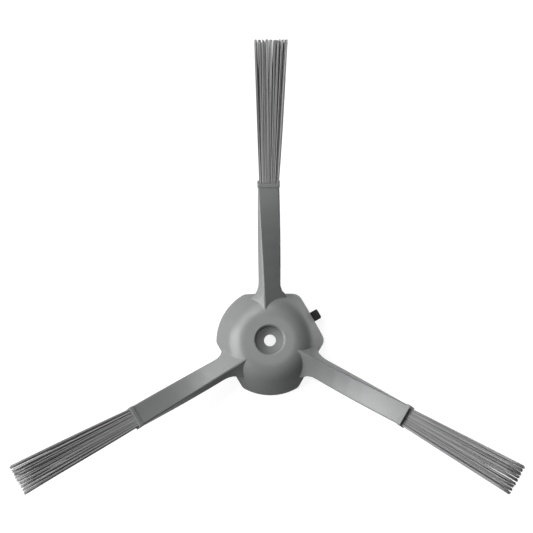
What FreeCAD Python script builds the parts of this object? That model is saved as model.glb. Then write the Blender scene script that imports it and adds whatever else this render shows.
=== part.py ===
# Side brush of a robot vacuum: a moulded dome hub with three twisted arms, a black drive insert
# below the hub, and a fan of nylon filaments in the end of each arm.
#
# Frame in millimetres: the origin is on the hub axis in the plane of the rim's underside, +Z points
# out of the screw recess, and one arm points along +Y. The arms rise as they go outwards.

import FreeCAD, Part
import math
import os
import random

# Dome hub
hub_radius = 15.5
hub_height = 9.0
top_flat_radius = 6.4
flank_slope = 55.0
rim_rounding = 5.0
rim_slope = 82.0
rim_land = 0.5
rim_corner_radius = 2.4
hub_wall = 1.6
arm_flat_distance = 13.55
key_flat_distance = 13.85
key_direction = 29.3

# Screw recess in the top, for an M3 screw
recess_radius = 3.95
recess_depth = 2.8
recess_chamfer = 0.45
screw_hole_radius = 1.7
screw_web = 1.4

# Underside of the hub
boss_wall = 1.3
boss_end = 0.6
rib_thickness = 1.2
rib_end = 1.2

# Drive insert
insert_radius = 6.0
insert_end = 0.4
socket_across_flats = 6.0
socket_corner_radius = 0.6
socket_lead_in = 0.4
key_width = 2.8
key_height = 2.0
key_reach = 16.2
key_edge = 0.25
insert_clearance = 0.1

# Arms
arm_directions = (90, 210, 330)
arm_axis_height = 5.95
arm_root_distance = 9.0
arm_end_distance = 44.5
arm_root_width = 5.6
arm_end_width = 6.1
arm_root_thickness = 3.0
arm_end_thickness = 4.0
arm_root_roll = 37.0
arm_slope = 20.5
bend_start_distance = 14.0
bend_radius = 51.0
arm_edge_chamfer = 0.3
root_steps = 7
outer_steps = 6
root_fillet_radius = 3.4
high_side_fillet_radius = 6.0
high_edge_setback = 1.0
fillet_share = 0.9

# Sockets and beads at the arm ends
tuft_socket_width = 5.3
tuft_socket_height = 2.5
tuft_socket_depth = 6.5
tuft_corner_radius = 0.4
bead_length = 1.1
bead_height = 0.15
bead_corner_radius = 0.4

# Bristle tufts
tuft_clearance = 0.05
plug_setback = 0.6
tip_distance = 80.0
trim_differences = (2.8, 0.4, -0.8)
filament_diameter = 0.36
filament_gap = 0.04
row_gap = 0.42
row_stagger = 0.1
tip_spread_leading = 5.5
tip_spread_trailing = 3.9
tip_thickness = 3.9
tip_raggedness = 0.5
tip_scatter = 0.15

Z_AXIS = FreeCAD.Vector(0, 0, 1)
ORIGIN = FreeCAD.Vector(0, 0, 0)


def radial_box(direction, start, length, width, bottom, height):
    """A box that starts at a distance from the hub axis and runs outwards."""
    box = Part.makeBox(length, width, height, FreeCAD.Vector(start, -width / 2, bottom))
    box.rotate(ORIGIN, Z_AXIS, direction)
    return box


def revolved(edges):
    """A solid of revolution about the hub axis from a closed profile in the XZ plane."""
    face = Part.Face(Part.Wire(edges))
    return face.revolve(ORIGIN, Z_AXIS, 360)


def chain(points):
    """Straight edges through points given as (radius, height)."""
    corners = [FreeCAD.Vector(radius, 0, height) for radius, height in points]
    return [Part.makeLine(a, b) for a, b in zip(corners, corners[1:])]


def dome_solid(inset):
    """The dome, made smaller by an even inset: a flat top, a round shoulder, a straight flank and
    a rounding that turns almost upright at the rim."""
    slope, steepest = math.radians(flank_slope), math.radians(rim_slope)
    rim_centre = FreeCAD.Vector(hub_radius - rim_rounding * math.sin(steepest), 0,
                                rim_land - rim_rounding * math.cos(steepest))
    across = rim_centre.x + rim_rounding * math.sin(slope) - top_flat_radius
    drop = hub_height - rim_centre.z - rim_rounding * math.cos(slope)
    shoulder_radius = (across * math.sin(slope) - drop * math.cos(slope)) / (1 - math.cos(slope))
    shoulder_centre = FreeCAD.Vector(top_flat_radius, 0, hub_height - shoulder_radius)

    def arc(centre, radius, start, end):
        points = [centre + FreeCAD.Vector(math.sin(angle), 0, math.cos(angle)) * (radius - inset)
                  for angle in (start, (start + end) / 2, end)]
        return Part.Arc(*points).toShape()

    shoulder = arc(shoulder_centre, shoulder_radius, 0, slope)
    rim = arc(rim_centre, rim_rounding, slope, steepest)
    flank_start, flank_end = shoulder.Vertexes[1].Point, rim.Vertexes[0].Point
    rim_end = rim.Vertexes[1].Point
    bottom = -hub_wall
    foot = rim_end.x + (rim_end.z - bottom) / math.tan(steepest)
    edges = chain([(0, bottom), (0, hub_height - inset), (top_flat_radius, hub_height - inset)])
    edges += [shoulder, Part.makeLine(flank_start, flank_end), rim]
    edges += chain([(rim_end.x, rim_end.z), (foot, bottom), (0, bottom)])
    return revolved(edges)


def rim_prism(inset, bottom):
    """The hub's outline as a prism: a circle with four flats and rounded corners, less an even inset."""
    flats = [(direction, arm_flat_distance) for direction in arm_directions]
    flats.append((key_direction, key_flat_distance))
    size = 2 * hub_radius
    disc = Part.makeCylinder(hub_radius, hub_height - bottom, FreeCAD.Vector(0, 0, bottom))
    disc = disc.cut([radial_box(direction, distance, size, size, -size, 2 * size)
                     for direction, distance in flats])
    outline = min(disc.Faces, key=lambda face: face.CenterOfMass.z)
    core = outline.makeOffset2D(-rim_corner_radius)
    return core.makeOffset2D(rim_corner_radius - inset).extrude(Z_AXIS * (hub_height - bottom))


def hub_form(inset, bottom=0):
    """The dome within its rim. With the wall's thickness as the inset it is the hollow below."""
    return dome_solid(inset).common(rim_prism(inset, bottom))


def path_point(distance):
    """Height and slope in radians of an arm's centre line at a distance from the hub axis."""
    slope = math.radians(arm_slope)
    bend_end = bend_start_distance + bend_radius * math.sin(slope)
    angle = 0.0
    if distance > bend_start_distance:
        angle = math.asin(min(math.sin(slope), (distance - bend_start_distance) / bend_radius))
    height = arm_axis_height + bend_radius * (1 - math.cos(angle))
    height += max(0.0, distance - bend_end) * math.tan(slope)
    return height, angle


def root_flare(distance, start, radius):
    """How far a concave fillet that starts at a distance has spread out at another one nearer the hub."""
    run = min(max(0.0, start - distance), fillet_share * radius)
    return radius - math.sqrt(radius ** 2 - run ** 2)


def corner_parts(corners, setback):
    """For each corner of a closed outline, the two points at a setback from it along its sides."""
    parts = []
    for index, corner in enumerate(corners):
        back = (corners[index - 1] - corner).normalize()
        ahead = (corners[(index + 1) % len(corners)] - corner).normalize()
        parts.append((corner + back * setback, corner + ahead * setback))
    return parts


def chamfered_wire(corners, setback):
    """A closed wire through corners, each one cut off by a chamfer."""
    points = [point for ends in corner_parts(corners, setback) for point in ends]
    return Part.makePolygon(points + points[:1])


def rounded_rectangle(x, width, height, radius):
    """A wire at a place along X: a rectangle in the YZ plane with rounded corners."""
    corners = [FreeCAD.Vector(x, y * width / 2, z * height / 2)
               for y, z in ((1, 1), (1, -1), (-1, -1), (-1, 1))]
    ends = corner_parts(corners, radius)
    edges = []
    for index, corner in enumerate(corners):
        start, end = ends[index]
        centre = start + end - corner
        middle = centre + (corner - centre).normalize() * radius
        following = ends[(index + 1) % len(ends)][0]
        edges += [Part.Arc(start, middle, end).toShape(), Part.makeLine(end, following)]
    return Part.Wire(edges)


def arm_section(distance):
    """The arm's section across its centre line, for an arm that points along +X.

    Its +Y side is the raised side. Three of the corners flare out into the hub."""
    height, slope = path_point(distance)
    share = (distance - arm_root_distance) / (arm_end_distance - arm_root_distance)
    half_width = (arm_root_width + (arm_end_width - arm_root_width) * share) / 2
    half_thickness = (arm_root_thickness + (arm_end_thickness - arm_root_thickness) * share) / 2
    roll = math.radians(arm_root_roll * (1 - share))

    outwards = FreeCAD.Vector(math.cos(slope), 0, math.sin(slope))
    normal = FreeCAD.Vector(-math.sin(slope), 0, math.cos(slope))
    sideways = FreeCAD.Vector(0, 1, 0)
    across = sideways * math.cos(roll) + normal * math.sin(roll)
    up = outwards.cross(across)

    low_start = arm_flat_distance + root_fillet_radius
    high_start = low_start - high_edge_setback
    low_flare = root_flare(distance, low_start, root_fillet_radius) / math.cos(roll)
    high_flare = root_flare(distance, high_start, root_fillet_radius) / math.cos(roll)
    raised_flare = root_flare(distance, low_start, high_side_fillet_radius)
    down_the_flank = (sideways - Z_AXIS * math.sin(roll)).normalize()

    centre = FreeCAD.Vector(distance, 0, height)
    corners = [
        centre + across * half_width + up * half_thickness,
        centre + across * half_width - up * half_thickness + down_the_flank * raised_flare,
        centre - across * (half_width + low_flare) - up * half_thickness,
        centre - across * (half_width + high_flare) + up * half_thickness,
    ]
    return chamfered_wire(corners, arm_edge_chamfer)


def at_arm_end(shape):
    """Places a shape, drawn with +X along the arm and its end face at X = 0, on the arm's end."""
    height, slope = path_point(arm_end_distance)
    shape.rotate(ORIGIN, FreeCAD.Vector(0, 1, 0), -math.degrees(slope))
    shape.translate(FreeCAD.Vector(arm_end_distance, 0, height))
    return shape


def rounded_bar(start, end, width, height, radius):
    """A bar along X with a rounded rectangle as its section."""
    section = Part.Face(rounded_rectangle(start, width, height, radius))
    return section.extrude(FreeCAD.Vector(end - start, 0, 0))


def arm_solid():
    """One arm that points along +X, with the socket and the bead at its end."""
    flare_end = arm_flat_distance + root_fillet_radius
    inner_end = arm_root_distance - hub_wall
    stations = [inner_end + (flare_end - inner_end) * step / root_steps for step in range(root_steps)]
    stations += [flare_end + (arm_end_distance - flare_end) * step / outer_steps
                 for step in range(outer_steps + 1)]
    arm = Part.makeLoft([arm_section(distance) for distance in stations], True, True)
    bead = rounded_bar(-bead_length, 0, arm_end_width + 2 * bead_height,
                       arm_end_thickness + 2 * bead_height, bead_corner_radius)
    socket = rounded_bar(-tuft_socket_depth, bead_length, tuft_socket_width, tuft_socket_height,
                         tuft_corner_radius)
    return arm.fuse(at_arm_end(bead)).cut(at_arm_end(socket))


def recess_cutter():
    """The screw recess with its chamfered lip, and the through hole in its floor."""
    floor = hub_height - recess_depth
    lip = recess_radius + recess_chamfer
    above = hub_height + recess_depth
    return revolved(chain([
        (0, 0), (screw_hole_radius, 0), (screw_hole_radius, floor), (recess_radius, floor),
        (recess_radius, hub_height - recess_chamfer), (lip, hub_height), (lip, above), (0, above), (0, 0),
    ]))


def hub_spider():
    """The grey moulding: hub and three arms in one piece."""
    pocket_radius = insert_radius + insert_clearance
    pocket_ceiling = hub_height - recess_depth - screw_web
    boss_radius = pocket_radius + boss_wall
    hub = hub_form(0)
    arms = []
    for direction in arm_directions:
        arm = arm_solid()
        arm.rotate(ORIGIN, Z_AXIS, direction)
        arms.append(arm)
    hub = hub.fuse(arms)
    hub = hub.cut(hub_form(hub_wall, -hub_wall))

    boss = Part.makeCylinder(boss_radius, hub_height - boss_end, FreeCAD.Vector(0, 0, boss_end))
    rib_length = arm_flat_distance - hub_wall / 2
    ribs = [radial_box(direction, 0, rib_length, rib_thickness, rib_end, hub_height - rib_end)
            for direction in arm_directions]
    inside = boss.fuse(ribs).common(hub_form(hub_wall / 2))
    hub = hub.fuse(inside)

    pocket = Part.makeCylinder(pocket_radius, pocket_ceiling + hub_wall, FreeCAD.Vector(0, 0, -hub_wall))
    key_slot = radial_box(key_direction, 0, 2 * hub_radius, key_width + 2 * insert_clearance,
                          -hub_wall, hub_wall + insert_end + key_height + insert_clearance)
    return hub.cut([pocket, key_slot, recess_cutter()]).removeSplitter()


def drive_insert():
    """The black sleeve with a square drive socket, and the key that stands out of the rim."""
    top = hub_height - recess_depth - screw_web
    sleeve = Part.makeCylinder(insert_radius, top - insert_end, FreeCAD.Vector(0, 0, insert_end))
    key = Part.makeBox(key_reach, key_width, key_height, FreeCAD.Vector(0, -key_width / 2, insert_end))
    outer_edges = [edge for edge in key.Edges if edge.CenterOfMass.x > key_reach - key_edge]
    key = key.makeChamfer(key_edge, outer_edges)
    key.rotate(ORIGIN, Z_AXIS, key_direction)

    half = socket_across_flats / 2
    socket = rounded_bar(0, top, socket_across_flats, socket_across_flats, socket_corner_radius)
    socket.rotate(ORIGIN, FreeCAD.Vector(0, 1, 0), -90)
    mouth = half + socket_lead_in
    lead_in = Part.makeCone(mouth * math.sqrt(2), half, mouth * math.sqrt(2) - half,
                            FreeCAD.Vector(0, 0, insert_end))
    lead_in = lead_in.common(Part.makeBox(2 * mouth, 2 * mouth, top, FreeCAD.Vector(-mouth, -mouth, 0)))
    return sleeve.fuse(key).cut([socket, lead_in]).removeSplitter()


def filament(root, tip):
    """One straight filament, six-sided so that a whole tuft stays light."""
    radius = filament_diameter / 2
    rim = [root + FreeCAD.Vector(0, radius * math.cos(angle), radius * math.sin(angle))
           for angle in [math.radians(60 * side) for side in range(7)]]
    return Part.Face(Part.makePolygon(rim)).extrude(tip - root)


def bristle_tuft(seed, reach):
    """One tuft for an arm that points along +X: the fused root plug and its fan of filaments."""
    chance = random.Random(seed)
    slope = path_point(arm_end_distance)[1]
    plug_width = tuft_socket_width - 2 * tuft_clearance
    plug_height = tuft_socket_height - 2 * tuft_clearance
    plug = rounded_bar(-tuft_socket_depth, -plug_setback, plug_width, plug_height,
                       tuft_corner_radius - tuft_clearance)
    length = (reach - arm_end_distance) / math.cos(slope)

    pitch = filament_diameter + filament_gap
    row_pitch = filament_diameter + row_gap
    columns = int((plug_width - filament_diameter) / pitch)
    rows = int((plug_height - filament_diameter) / row_pitch) + 1
    tip_middle = (tip_spread_trailing - tip_spread_leading) / 2
    tip_pitch = (tip_spread_leading + tip_spread_trailing) / columns
    filaments = []
    for row in range(rows):
        level = row - (rows - 1) / 2
        stagger = row_stagger if row % 2 else -row_stagger
        for column in range(columns):
            place = column - (columns - 1) / 2
            root = FreeCAD.Vector(-plug_setback - pitch, place * pitch + stagger, level * row_pitch)
            tip = FreeCAD.Vector(length - tip_raggedness * chance.random(),
                                 tip_middle + place * tip_pitch + tip_scatter * chance.uniform(-1, 1),
                                 level * tip_thickness / rows + tip_scatter * chance.uniform(-1, 1))
            filaments.append(filament(root, tip))
    return at_arm_end(plug.fuse(filaments))


os.makedirs("parts", exist_ok=True)
hub_spider().exportStep("parts/hub_spider.step")
drive_insert().exportStep("parts/drive_insert.step")
for number, (direction, trim) in enumerate(zip(arm_directions, trim_differences), start=1):
    tuft = bristle_tuft(number, tip_distance + trim)
    tuft.rotate(ORIGIN, Z_AXIS, direction)
    tuft.exportStep(f"parts/bristle_tuft_{number}.step")
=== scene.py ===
import math
import random

import bpy
from mathutils import Matrix, Vector


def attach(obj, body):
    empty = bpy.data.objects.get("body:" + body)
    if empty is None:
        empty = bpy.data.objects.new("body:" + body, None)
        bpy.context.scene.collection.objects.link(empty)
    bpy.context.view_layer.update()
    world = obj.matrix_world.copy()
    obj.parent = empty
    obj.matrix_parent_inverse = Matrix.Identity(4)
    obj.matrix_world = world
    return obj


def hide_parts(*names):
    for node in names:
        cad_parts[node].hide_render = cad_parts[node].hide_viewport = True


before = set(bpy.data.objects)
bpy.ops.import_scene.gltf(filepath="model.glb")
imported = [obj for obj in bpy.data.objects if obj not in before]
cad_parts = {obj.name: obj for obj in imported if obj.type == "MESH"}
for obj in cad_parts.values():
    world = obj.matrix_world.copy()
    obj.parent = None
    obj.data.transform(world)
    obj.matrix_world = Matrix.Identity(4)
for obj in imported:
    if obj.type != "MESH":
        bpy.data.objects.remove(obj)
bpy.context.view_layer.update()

# Lengths are in metres, in the frame of the model: +Z out of the screw recess, one arm along +Y.
MM = 0.001

# Arms: a tuft is made for an arm along +X, whose end face has its middle at ARM_END, and then turned
ARM_DIRECTIONS = (90, 210, 330)
ARM_END = Vector((44.5 * MM, 0, 13.91 * MM))
ARM_SLOPE = math.radians(20.5)

# Tufts: a fan spreads further to its leading side, -Y, than to its trailing side, +Y. The reaches are
# counted from the hub's axis, and the root depth from the arm's end face.
ROOT_DEPTH = 6.3 * MM
ROOT_WIDTH = 5.1 * MM
ROOT_THICKNESS = 2.1 * MM
TIP_REACHES = (82.7 * MM, 79.9 * MM, 78.9 * MM)
TIP_LEADINGS = (6.0 * MM, 5.4 * MM, 5.4 * MM)
TIP_TRAILING = 3.85 * MM
TIP_THICKNESS = 3.0 * MM
TIP_RAGGEDNESS = 0.9 * MM

# Strands: thin tubes with a slight bow, each with its root somewhere in its own cell of a grid
STRAND_COLUMNS = 34
STRAND_ROWS = 9
STRAND_RADIUS = 0.1 * MM
STRAND_SIDES = 6
STRAND_STEPS = 10
STRAND_BOW = 0.1 * MM
ROOT_JITTER = 0.35

# Clumps: loose groups of tips. The width is a share of a clump's even pitch, and the scatters are
# shares of the fan's width and thickness.
CLUMPS = 9
CLUMP_WIDTH = 0.7
LEAN_SCATTER = 0.006
LIFT_SCATTER = 0.1

# Finish: the stretch of a 0 to 1 value that a ramp spreads out, the grain and the softened edges
RAMP_START = 0.3
RAMP_END = 0.7
GRAIN_HEIGHT = 0.01 * MM
EDGE_RADIUS = 0.3 * MM
EDGE_SAMPLES = 6

# Shading: an edge that turns by more than the crease stays sharp
CREASE = math.radians(28)
WELD_DISTANCE = 0.001 * MM

# Surroundings: the gloss of the plastic mirrors only a share of the white floor and backdrop
LIGHT_TARGET = Vector((0, 0, 5 * MM))
FLOOR_HALF = 1.2
FLOOR_LEVEL = -0.02 * MM
FLOOR_GREY = 0.25
FLOOR_GLOW = 0.86
DIM_STRENGTH = 0.01
WHITE_STRENGTH = 1.0
GLOSS_SHARE = 0.2

# Camera: almost straight above, as the photograph looks. Its azimuth is counted from -Y towards +X
CAMERA_AZIMUTH = math.radians(9.5)
CAMERA_ELEVATION = math.radians(85.1)
CAMERA_ROLL = math.radians(-0.36)
CAMERA_DISTANCE = 0.7
CAMERA_TARGET = Vector((-0.82 * MM, 20.97 * MM, 8 * MM))
CLIP_START = 0.01
PHOTO_PIXELS = 533
FOCAL_PIXELS = 2454
SENSOR_WIDTH_MM = 36


def even(value):
    """The same value for red, green and blue."""
    return (value, value, value)


def new_material(name):
    """A node material and its shader."""
    material = bpy.data.materials.new(name)
    material.use_nodes = True
    return material, material.node_tree.nodes["Principled BSDF"]


def link(owner, source, output, target, socket):
    """Joins two nodes of a material or of the world."""
    owner.node_tree.links.new(source.outputs[output], target.inputs[socket])


def add_noise(material, scale, detail):
    """Noise in object space, so that it stays on the piece."""
    nodes = material.node_tree.nodes
    place = nodes.new("ShaderNodeTexCoord")
    noise = nodes.new("ShaderNodeTexNoise")
    noise.inputs["Scale"].default_value = scale
    noise.inputs["Detail"].default_value = detail
    link(material, place, "Object", noise, "Vector")
    return noise


def add_ramp(material, source, output, target, socket, low, high):
    """Turns a 0 to 1 value into a range of greys, or of numbers, for a shader socket."""
    ramp = material.node_tree.nodes.new("ShaderNodeValToRGB")
    start, end = ramp.color_ramp.elements
    start.position = RAMP_START
    end.position = RAMP_END
    start.color = (*low, 1)
    end.color = (*high, 1)
    link(material, source, output, ramp, "Fac")
    link(material, ramp, "Color", target, socket)


def add_bump(material, shader, noise, strength):
    """A fine grain on the surface."""
    bump = material.node_tree.nodes.new("ShaderNodeBump")
    bump.inputs["Strength"].default_value = strength
    bump.inputs["Distance"].default_value = GRAIN_HEIGHT
    link(material, noise, "Fac", bump, "Height")
    link(material, bump, "Normal", shader, "Normal")
    return bump


def soften_edges(material, bump):
    """Shades the real edges as slightly rounded, under the grain."""
    edges = material.node_tree.nodes.new("ShaderNodeBevel")
    edges.samples = EDGE_SAMPLES
    edges.inputs["Radius"].default_value = EDGE_RADIUS
    link(material, edges, "Normal", bump, "Normal")


def grey_plastic():
    """Satin moulded plastic with a faint flow pattern and a fine spark-eroded grain."""
    material, shader = new_material("grey_plastic")
    flow = add_noise(material, scale=90, detail=3)
    add_ramp(material, flow, "Fac", shader, "Base Color",
             low=(0.155, 0.16, 0.16), high=(0.17, 0.175, 0.175))
    mottle = add_noise(material, scale=900, detail=4)
    add_ramp(material, mottle, "Fac", shader, "Roughness", low=even(0.33), high=even(0.39))
    grain = add_noise(material, scale=9000, detail=2)
    soften_edges(material, add_bump(material, shader, grain, strength=0.25))
    shader.inputs["IOR"].default_value = 1.5
    return material


def black_plastic():
    """Matte black plastic of the drive insert."""
    material, shader = new_material("black_plastic")
    mottle = add_noise(material, scale=1200, detail=3)
    add_ramp(material, mottle, "Fac", shader, "Base Color", low=even(0.005), high=even(0.009))
    grain = add_noise(material, scale=7000, detail=2)
    add_bump(material, shader, grain, strength=0.3)
    shader.inputs["Roughness"].default_value = 0.6
    shader.inputs["Specular IOR Level"].default_value = 0.3
    return material


def bristle_nylon():
    """Grey nylon with a dull, uneven gloss. Each strand has its own shade."""
    material, shader = new_material("bristle_nylon")
    strand = material.node_tree.nodes.new("ShaderNodeNewGeometry")
    add_ramp(material, strand, "Random Per Island", shader, "Base Color",
             low=(0.19, 0.19, 0.192), high=(0.3, 0.3, 0.302))
    mottle = add_noise(material, scale=2500, detail=2)
    add_ramp(material, mottle, "Fac", shader, "Roughness", low=even(0.6), high=even(0.75))
    shader.inputs["Specular IOR Level"].default_value = 0.3
    return material


def strand_point(root, tip, bow, share):
    """A point on a strand: straight from root to tip, apart from a bow that is widest halfway."""
    return root.lerp(tip, share) + bow * (4 * share * (1 - share))


def add_strand(vertices, faces, root, tip, bow):
    """A thin closed tube along a strand."""
    first = len(vertices)
    for step in range(STRAND_STEPS + 1):
        centre = strand_point(root, tip, bow, step / STRAND_STEPS)
        for side in range(STRAND_SIDES):
            angle = 2 * math.pi * side / STRAND_SIDES
            vertices.append(centre + Vector((0, math.cos(angle), math.sin(angle))) * STRAND_RADIUS)
    for step in range(STRAND_STEPS):
        ring = first + step * STRAND_SIDES
        for side in range(STRAND_SIDES):
            following = (side + 1) % STRAND_SIDES
            faces.append((ring + side, ring + following,
                          ring + STRAND_SIDES + following, ring + STRAND_SIDES + side))
    last = first + STRAND_STEPS * STRAND_SIDES
    faces.append([first + side for side in reversed(range(STRAND_SIDES))])
    faces.append([last + side for side in range(STRAND_SIDES)])


def within_fan(share):
    """Keeps a strand inside the fan. The share is counted from the fan's middle."""
    return max(-0.5, min(0.5, share))


def tuft_mesh(name, seed, reach, leading):
    """A fan of strands in the arm's own frame: +X along the arm, its end face at X = 0."""
    chance = random.Random(seed)
    length = (reach - ARM_END.x) / math.cos(ARM_SLOPE)
    root_spread = ROOT_WIDTH - 2 * STRAND_RADIUS
    root_height = ROOT_THICKNESS - 2 * STRAND_RADIUS
    tip_middle = (TIP_TRAILING - leading) / 2
    tip_spread = TIP_TRAILING + leading - 2 * STRAND_RADIUS
    vertices = []
    faces = []
    for row in range(STRAND_ROWS):
        for column in range(STRAND_COLUMNS):
            across = (column + 0.5 + chance.uniform(-ROOT_JITTER, ROOT_JITTER)) / STRAND_COLUMNS - 0.5
            level = (row + 0.5 + chance.uniform(-ROOT_JITTER, ROOT_JITTER)) / STRAND_ROWS - 0.5
            root = Vector((-ROOT_DEPTH, across * root_spread, level * root_height))
            clump = (math.floor((across + 0.5) * CLUMPS) + 0.5) / CLUMPS - 0.5
            lean = within_fan(clump + (across - clump) * CLUMP_WIDTH + chance.gauss(0, LEAN_SCATTER))
            lift = within_fan(level + chance.gauss(0, LIFT_SCATTER))
            tip = Vector((length - TIP_RAGGEDNESS * chance.random() ** 2,
                          tip_middle + lean * tip_spread, lift * TIP_THICKNESS))
            bow = Vector((0, chance.gauss(0, STRAND_BOW), chance.gauss(0, STRAND_BOW)))
            add_strand(vertices, faces, root, tip, bow)
    mesh = bpy.data.meshes.new(name)
    mesh.from_pydata(vertices, [], faces)
    mesh.polygons.foreach_set("use_smooth", [True] * len(mesh.polygons))
    return mesh


def add_tuft(number, direction, reach, leading, material):
    """A tuft of fine strands in the end of its arm, in place of the CAD's coarse one."""
    name = f"bristles_{number}"
    mesh = tuft_mesh(name, number, reach, leading)
    turn = Matrix.Rotation(math.radians(direction), 4, "Z")
    rise = Matrix.Rotation(-ARM_SLOPE, 4, "Y")
    mesh.transform(turn @ Matrix.Translation(ARM_END) @ rise)
    mesh.materials.append(material)
    tuft = bpy.data.objects.new(name, mesh)
    bpy.context.collection.objects.link(tuft)
    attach(tuft, "root")
    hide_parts(f"bristle_tuft_{number}")


def soft_shading():
    """A modifier tree that shades a mesh smoothly, apart from edges sharper than the crease.

    It drops the stored normals and joins doubled corners first.
    """
    tree = bpy.data.node_groups.new("soft_shading", "GeometryNodeTree")
    tree.interface.new_socket("Geometry", in_out="INPUT", socket_type="NodeSocketGeometry")
    tree.interface.new_socket("Geometry", in_out="OUTPUT", socket_type="NodeSocketGeometry")
    start = tree.nodes.new("NodeGroupInput")
    weld = tree.nodes.new("GeometryNodeMergeByDistance")
    weld.inputs["Distance"].default_value = WELD_DISTANCE
    forget = tree.nodes.new("GeometryNodeRemoveAttribute")
    forget.inputs["Name"].default_value = "custom_normal"
    faces = tree.nodes.new("GeometryNodeSetShadeSmooth")
    faces.domain = "FACE"
    angle = tree.nodes.new("GeometryNodeInputMeshEdgeAngle")
    sharp = tree.nodes.new("FunctionNodeCompare")
    sharp.operation = "GREATER_THAN"
    sharp.inputs["B"].default_value = CREASE
    edges = tree.nodes.new("GeometryNodeSetShadeSmooth")
    edges.domain = "EDGE"
    edges.inputs["Shade Smooth"].default_value = False
    end = tree.nodes.new("NodeGroupOutput")
    join = tree.links.new
    join(start.outputs[0], forget.inputs["Geometry"])
    join(forget.outputs[0], weld.inputs["Geometry"])
    join(weld.outputs[0], faces.inputs["Geometry"])
    join(faces.outputs[0], edges.inputs["Geometry"])
    join(angle.outputs["Unsigned Angle"], sharp.inputs["A"])
    join(sharp.outputs[0], edges.inputs["Selection"])
    join(edges.outputs[0], end.inputs[0])
    return tree


def dress_node(node, material, shading):
    """Gives a CAD node a finished material, and smooth shading up to its real edges."""
    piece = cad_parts[node]
    piece.data.materials.clear()
    piece.data.materials.append(material)
    piece.modifiers.new("soft_shading", "NODES").node_group = shading


def add_view_share(owner):
    """The share of the white backdrop in a ray: all when seen straight or through, some in gloss."""
    nodes = owner.node_tree.nodes
    path = nodes.new("ShaderNodeLightPath")
    direct = nodes.new("ShaderNodeMath")
    direct.operation = "MAXIMUM"
    share = nodes.new("ShaderNodeMath")
    share.operation = "MULTIPLY_ADD"
    share.inputs[1].default_value = GLOSS_SHARE
    link(owner, path, "Is Camera Ray", direct, 0)
    link(owner, path, "Is Transmission Ray", direct, 1)
    link(owner, path, "Is Glossy Ray", share, 0)
    link(owner, direct, 0, share, 2)
    return share


def floor_white():
    """Dull grey that takes light and shadow, with a white glow added for what sees the floor."""
    material = bpy.data.materials.new("floor_white")
    material.use_nodes = True
    nodes = material.node_tree.nodes
    nodes.clear()
    diffuse = nodes.new("ShaderNodeBsdfDiffuse")
    diffuse.inputs["Color"].default_value = (*even(FLOOR_GREY), 1)
    glow = nodes.new("ShaderNodeEmission")
    glow.inputs["Strength"].default_value = FLOOR_GLOW
    mix = nodes.new("ShaderNodeMixShader")
    both = nodes.new("ShaderNodeAddShader")
    output = nodes.new("ShaderNodeOutputMaterial")
    link(material, diffuse, "BSDF", both, 0)
    link(material, glow, "Emission", both, 1)
    link(material, add_view_share(material), 0, mix, "Fac")
    link(material, diffuse, "BSDF", mix, 1)
    link(material, both, "Shader", mix, 2)
    link(material, mix, "Shader", output, "Surface")
    return material


def add_floor():
    """A white floor that takes the object's soft shadow and casts none itself."""
    mesh = bpy.data.meshes.new("floor")
    corners = [(x * FLOOR_HALF, y * FLOOR_HALF, FLOOR_LEVEL)
               for x, y in ((-1, -1), (1, -1), (1, 1), (-1, 1))]
    mesh.from_pydata(corners, [], [(0, 1, 2, 3)])
    mesh.materials.append(floor_white())
    floor = bpy.data.objects.new("floor", mesh)
    bpy.context.collection.objects.link(floor)
    floor.visible_shadow = False


def add_light(name, azimuth, elevation, distance, size, power):
    """A softbox that faces the object. Azimuth, from +X towards +Y, and elevation are in degrees."""
    lamp = bpy.data.lights.new(name, "AREA")
    lamp.shape = "RECTANGLE"
    lamp.size, lamp.size_y = size
    lamp.energy = power
    light = bpy.data.objects.new(name, lamp)
    bpy.context.collection.objects.link(light)
    flat = math.cos(math.radians(elevation))
    away = Vector((flat * math.cos(math.radians(azimuth)), flat * math.sin(math.radians(azimuth)),
                   math.sin(math.radians(elevation))))
    light.location = LIGHT_TARGET + away * distance
    light.rotation_euler = away.to_track_quat("Z", "Y").to_euler()
    light.visible_camera = False


def set_world():
    """Dim surroundings for the light on the object, and a white backdrop for what is seen."""
    world = bpy.data.worlds.new("studio")
    bpy.context.scene.world = world
    world.use_nodes = True
    nodes = world.node_tree.nodes
    dim = nodes["Background"]
    dim.inputs["Color"].default_value = (*even(1), 1)
    dim.inputs["Strength"].default_value = DIM_STRENGTH
    white = nodes.new("ShaderNodeBackground")
    white.inputs["Color"].default_value = (*even(1), 1)
    white.inputs["Strength"].default_value = WHITE_STRENGTH
    mix = nodes.new("ShaderNodeMixShader")
    link(world, add_view_share(world), 0, mix, "Fac")
    link(world, dim, "Background", mix, 1)
    link(world, white, "Background", mix, 2)
    link(world, mix, "Shader", nodes["World Output"], "Surface")


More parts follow.
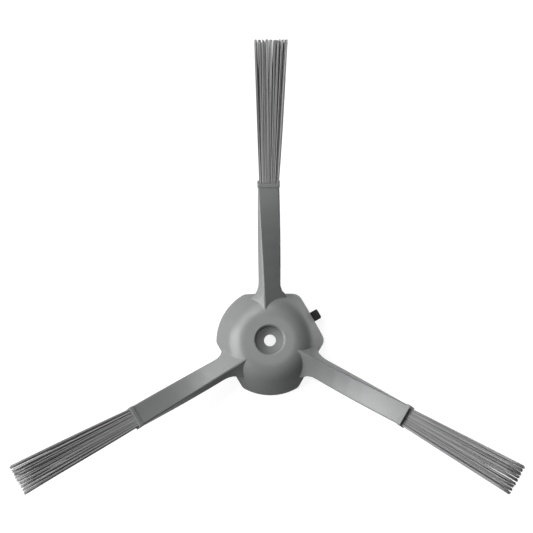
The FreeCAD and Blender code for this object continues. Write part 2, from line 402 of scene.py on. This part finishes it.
def add_camera():
    """The camera of the photograph, fitted to its outline."""
    data = bpy.data.cameras.new("camera")
    data.sensor_width = SENSOR_WIDTH_MM
    data.lens = FOCAL_PIXELS / PHOTO_PIXELS * SENSOR_WIDTH_MM
    data.clip_start = CLIP_START
    camera = bpy.data.objects.new("camera", data)
    bpy.context.collection.objects.link(camera)
    flat = math.cos(CAMERA_ELEVATION)
    back = Vector((flat * math.sin(CAMERA_AZIMUTH), -flat * math.cos(CAMERA_AZIMUTH),
                   math.sin(CAMERA_ELEVATION)))
    right = Vector((0, 1, 0)).cross(back).normalized()
    up = back.cross(right)
    rolled_right = right * math.cos(CAMERA_ROLL) + up * math.sin(CAMERA_ROLL)
    rolled_up = up * math.cos(CAMERA_ROLL) - right * math.sin(CAMERA_ROLL)
    axes = Matrix((rolled_right, rolled_up, back)).transposed()
    camera.matrix_world = Matrix.Translation(CAMERA_TARGET + back * CAMERA_DISTANCE) @ axes.to_4x4()
    bpy.context.scene.camera = camera


bpy.context.scene.view_settings.view_transform = "Standard"
set_world()
add_floor()
add_camera()

# The first three stand from the photograph's left round to its top. The low one lights the right of
# the rim from under the floor, which casts no shadow.
add_light("key", azimuth=184, elevation=27, distance=1.0, size=(0.85, 0.85), power=14.5)
add_light("second", azimuth=145, elevation=41, distance=1.0, size=(0.85, 0.65), power=6.8)
add_light("side", azimuth=108, elevation=33, distance=1.0, size=(0.32, 0.9), power=3.6)
add_light("top", azimuth=0, elevation=88, distance=1.0, size=(0.32, 0.32), power=1.2)
add_light("right", azimuth=0, elevation=35, distance=1.0, size=(0.32, 0.9), power=0.3)
add_light("low_rim", azimuth=22, elevation=-40, distance=0.5, size=(0.45, 0.3), power=5.5)

shading = soft_shading()
dress_node("hub_spider", grey_plastic(), shading)
dress_node("drive_insert", black_plastic(), shading)
nylon = bristle_nylon()
tufts = zip(ARM_DIRECTIONS, TIP_REACHES, TIP_LEADINGS)
for number, (direction, reach, leading) in enumerate(tufts, start=1):
    add_tuft(number, direction, reach, leading, nylon)

bpy.context.view_layer.update()
